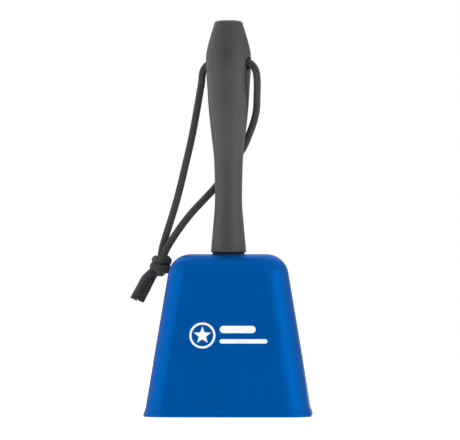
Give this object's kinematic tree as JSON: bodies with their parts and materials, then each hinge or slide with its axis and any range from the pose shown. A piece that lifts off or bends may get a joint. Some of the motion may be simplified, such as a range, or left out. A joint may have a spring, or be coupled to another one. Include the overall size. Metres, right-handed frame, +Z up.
{
  "type": "hand-held cheer cowbell",
  "caption": "Drawn steel bell with a rounded rectangular mouth, a turned handle on top, a swinging clapper inside and a knotted cord loop through the handle.",
  "frame": {"origin": "centre of the bell's mouth, on the surface that the bell stands on", "axes": "+Z up from the mouth towards the handle's crown; +X along the bell's broad width; the broad front faces -Y"},
  "size_m": [0.1102, 0.069, 0.2379],
  "materials": {
    "bell_paint": "glossy blue enamel on drawn steel, inside and out",
    "grip_plastic": "satin dark grey moulded plastic",
    "gasket_rubber": "black rubber",
    "insert_brass": "machined brass",
    "fixing_steel": "bright zinc-plated steel",
    "clapper_steel": "nickel-plated steel with light scuffs",
    "cord_fibre": "black braided polyester cord"
  },
  "bodies": {
    "root": {"bell_shell": "bell_paint", "base_gasket": "gasket_rubber", "handle_grip": "grip_plastic", "handle_insert": "insert_brass", "mounting_screw": "fixing_steel", "spring_washer": "fixing_steel", "flat_washer": "fixing_steel", "clapper_hanger": "fixing_steel", "hanger_pin": "fixing_steel", "cord_loop": "cord_fibre", "cord_knot": "cord_fibre", "cord_tail_front": "cord_fibre", "cord_tail_back": "cord_fibre"},
    "ring": {"clapper_ring": "clapper_steel"},
    "clapper": {"clapper_rod": "clapper_steel", "clapper_ball": "clapper_steel"}
  },
  "joints": [
    {"name": "ring_swing", "type": "hinge", "parent": "root", "child": "ring", "pos_m": [0, 0, 0.082], "axis": [1, 0, 0], "range_deg": [-20, 20]},
    {"name": "clapper_swing", "type": "hinge", "parent": "ring", "child": "clapper", "pos_m": [0, 0, 0.07305], "axis": [0, 1, 0], "range_deg": [-41, 41]}
  ]
}
